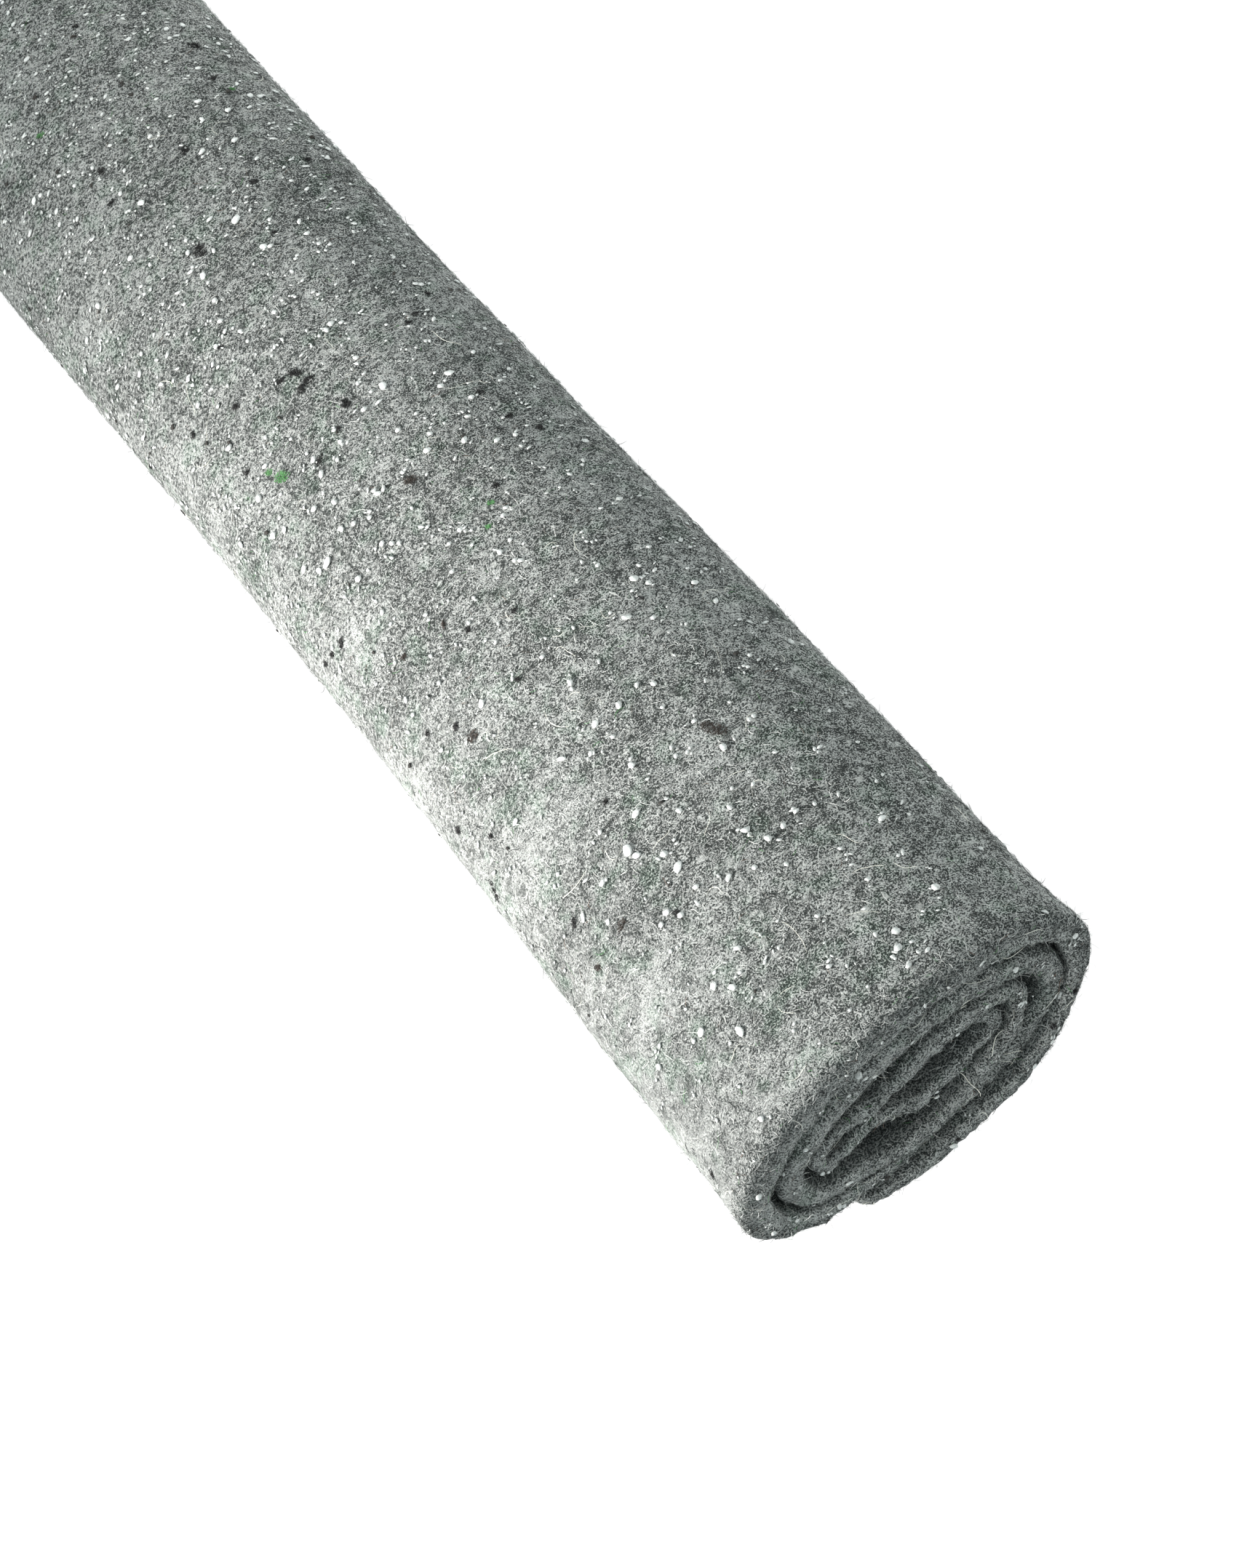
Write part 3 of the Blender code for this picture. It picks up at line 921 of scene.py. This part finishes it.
def lint_blobs(spots, rng, divisions=1):
    """Points and faces of irregular flattened knots of lint, some of them bent to a crescent."""
    ball, faces = blob_shape(divisions)
    count = len(spots)
    places, normals, along, long, wide = (np.array(field) for field in zip(*spots))
    beside = np.cross(normals, along)
    bumps = 1 + 0.14 * rng.uniform(-1, 1, (count, len(ball)))
    shape = ball[None] * bumps[..., None]
    bend = rng.normal(0, 0.22, count)[:, None]
    length, width = long[:, None] / 2, wide[:, None] / 2
    sideways = shape[..., 1] * width + bend * (shape[..., 0] ** 2 - 0.4) * width
    points = places[:, None] + (shape[..., 0] * length)[..., None] * along[:, None]
    points += sideways[..., None] * beside[:, None]
    points += ((shape[..., 2] * 0.34 + 0.10) * width + 0.55 * MM)[..., None] * normals[:, None]
    points[..., 2] = np.maximum(points[..., 2], CLEAR_OF_FLOOR)
    corners = faces[None] + (np.arange(count) * len(ball))[:, None, None]
    return points.reshape(-1, 3), corners.reshape(-1, 3)


def clustered(spots, rng):
    """Moves every third spot close to the one before it."""
    moved = list(spots)
    for index in range(2, len(moved), 3):
        near, spot = moved[index - 1], moved[index]
        aside = np.cross(near.normal, near.lengthwise)
        step = near.long * rng.uniform(0.7, 1.5)
        angle = rng.uniform(0, 2 * math.pi)
        place = near.place + step * (math.cos(angle) * near.lengthwise + math.sin(angle) * aside)
        moved[index] = Spot(place, near.normal, near.lengthwise, spot.long * 0.7, spot.wide * 0.6)
    return moved


class BATTING_OT_add_sheet(bpy.types.Operator):
    """Add the wound sheet in place of the plain solid"""

    bl_idname = "batting.add_sheet"
    bl_label = "Add Wound Sheet"

    def execute(self, context):
        settings = context.scene.batting_felt
        sheet = WoundSheet(settings)
        material = felt_material(settings)
        points = sheet.points.reshape(-1, 3)
        piece = mesh_piece("wound_batting", points, sheet.faces(), material, shade=sheet.cut_shade)
        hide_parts(SHEET_NODE)
        return {"FINISHED"}


class BATTING_OT_add_fibres(bpy.types.Operator):
    """Add the fibres matted on the felt and the strays that stand off it"""

    bl_idname = "batting.add_fibres"
    bl_label = "Add Fibres"

    def execute(self, context):
        settings = context.scene.batting_fibres
        sheet = WoundSheet(context.scene.batting_felt)
        for index, tone in enumerate(FIBRE_TONES):
            rng = np.random.default_rng(100 + index)
            material = fibre_material(f"{tone.name}_fibre", tone.colour)
            for kind, count, shape in (
                ("matted", settings.matted_count, matted_fibres),
                ("stray", settings.stray_count, stray_fibres),
            ):
                sample = sample_tone(sheet, int(count * tone.share), rng, tone)
                lines = shape(sample, settings.width * tone.width, rng)
                mesh_piece(f"{kind}_{tone.name}_fibres", *ribbons(*lines), material)
        rng = np.random.default_rng(50)
        lines = long_hairs(sample_surface(sheet, settings.hair_count, rng), 0.2 * MM, rng)
        material = fibre_material("hair", (0.80, 0.78, 0.70))
        mesh_piece("long_hair_fibres", *ribbons(*lines), material)
        return {"FINISHED"}


class BATTING_OT_add_flecks(bpy.types.Operator):
    """Add the pale and dark flecks of lint"""

    bl_idname = "batting.add_flecks"
    bl_label = "Add Flecks"

    def execute(self, context):
        settings = context.scene.batting_flecks
        sheet = WoundSheet(context.scene.batting_felt)
        rng = np.random.default_rng(7)
        pale = clustered(scattered_spots(sheet, settings.pale_count, rng, PALE_LENGTH), rng)
        material = fleck_material("white_lint", (0.47, 0.48, 0.47), (0.92, 0.92, 0.90), 1.2 * MM)
        mesh_piece("pale_flecks", *lint_blobs(pale, rng), material)
        large = marked_spots(sheet, "white")
        mesh_piece("large_flecks", *lint_blobs(large, rng, divisions=2), material)
        halo = fibre_material("white_lint_fibre", (0.66, 0.66, 0.64))
        mesh_piece("large_fleck_fibres", *ribbons(*tufts(large, rng, HALO)), halo)
        dark = scattered_spots(sheet, settings.dark_count, rng, DARK_LENGTH)
        material = fleck_material("black_lint", (0.012, 0.011, 0.010), (0.05, 0.045, 0.04), 1.5 * MM)
        mesh_piece("dark_flecks", *lint_blobs(dark, rng), material)
        for kind, colour in TUFT_COLOURS.items():
            spots = marked_spots(sheet, kind)
            spots += scattered_spots(sheet, TUFTS_ELSEWHERE[kind], rng, TUFT_LENGTH)
            material = fibre_material(f"{kind}_lint_fibre", colour)
            mesh_piece(f"{kind}_tuft_fibres", *ribbons(*tufts(spots, rng, TUFT)), material)
        return {"FINISHED"}


class BATTING_OT_add_stage(bpy.types.Operator):
    """Add the floor, the soft lights and the camera"""

    bl_idname = "batting.add_stage"
    bl_label = "Add Stage"

    def execute(self, context):
        settings = context.scene.batting_stage
        self.add_floor(context, settings)
        self.add_lights(context, settings)
        self.add_camera(context)
        context.scene.view_settings.view_transform = "Standard"
        return {"FINISHED"}

    def add_floor(self, context, settings):
        grid = bmesh.new()
        bmesh.ops.create_grid(grid, x_segments=1, y_segments=1, size=FLOOR_REACH)
        mesh = bpy.data.meshes.new("floor")
        grid.to_mesh(mesh)
        grid.free()
        shading = Shading("pale_floor")
        shading.set(Base_Color=(*settings.floor_colour, 1.0), Roughness=0.9)
        shading.set(Emission_Color=(1.0, 1.0, 1.0, 1.0), Emission_Strength=FLOOR_GLOW)
        mesh.materials.append(shading.material)
        floor = bpy.data.objects.new("floor", mesh)
        floor.location.z = -CLEAR_OF_FLOOR
        floor.visible_diffuse = False
        context.scene.collection.objects.link(floor)

    def add_lights(self, context, settings):
        world = bpy.data.worlds.new("studio_sky")
        world.use_nodes = True
        sky = world.node_tree.nodes["Background"]
        sky.inputs["Color"].default_value = SKY_COLOUR
        sky.inputs["Strength"].default_value = settings.sky_strength
        context.scene.world = world
        for name, soft in LIGHTS.items():
            self.add_soft_light(context, f"{name}_light", getattr(settings, f"{name}_power"), soft)

    def add_soft_light(self, context, name, power, soft):
        light = bpy.data.lights.new(name, "AREA")
        light.shape = "RECTANGLE"
        light.size, light.size_y = soft.size
        light.spread = math.radians(soft.spread)
        light.energy = power
        light.color = LIGHT_COLOUR
        lamp = bpy.data.objects.new(name, light)
        lamp.location = soft.place
        lamp.visible_camera = False
        lamp.rotation_euler = (Vector(soft.target) - lamp.location).to_track_quat("-Z", "Y").to_euler()
        context.scene.collection.objects.link(lamp)

    def add_camera(self, context):
        lens = bpy.data.cameras.new("camera")
        lens.sensor_fit = "AUTO"
        lens.sensor_width = SENSOR_SIDE
        lens.lens = SENSOR_SIDE * FOCAL_PIXELS / max(PHOTO_SIZE)
        lens.clip_start = 0.05
        lens.clip_end = 60.0
        camera = bpy.data.objects.new("camera", lens)
        right, down, ahead = camera_axes()
        axes = Matrix((right, -down, -ahead)).transposed()
        camera.matrix_world = Matrix.Translation(CAMERA_PLACE) @ axes.to_4x4()
        context.scene.collection.objects.link(camera)
        context.scene.camera = camera


class BATTING_PT_panel(bpy.types.Panel):
    """The roll's pieces and their settings"""

    bl_idname = "BATTING_PT_panel"
    bl_label = "Roll of Batting"
    bl_space_type = "VIEW_3D"
    bl_region_type = "UI"
    bl_category = "Batting"

    def draw(self, context):
        for name, (_, operator) in STEPS.items():
            group = getattr(context.scene, name)
            box = self.layout.box()
            for setting in group.__annotations__:
                box.prop(group, setting)
            box.operator(operator.bl_idname)


STEPS = {
    "batting_felt": (FeltSettings, BATTING_OT_add_sheet),
    "batting_fibres": (FibreSettings, BATTING_OT_add_fibres),
    "batting_flecks": (FleckSettings, BATTING_OT_add_flecks),
    "batting_stage": (StageSettings, BATTING_OT_add_stage),
}
CLASSES = (*(made for step in STEPS.values() for made in step), BATTING_PT_panel)


def register():
    for made in CLASSES:
        bpy.utils.register_class(made)
    for name, (group, _) in STEPS.items():
        setattr(bpy.types.Scene, name, PointerProperty(type=group))


def unregister():
    for name in STEPS:
        delattr(bpy.types.Scene, name)
    for made in reversed(CLASSES):
        bpy.utils.unregister_class(made)


def main():
    register()
    bpy.ops.batting.add_sheet()
    bpy.ops.batting.add_fibres()
    bpy.ops.batting.add_flecks()
    bpy.ops.batting.add_stage()


if __name__ == "__main__":
    main()
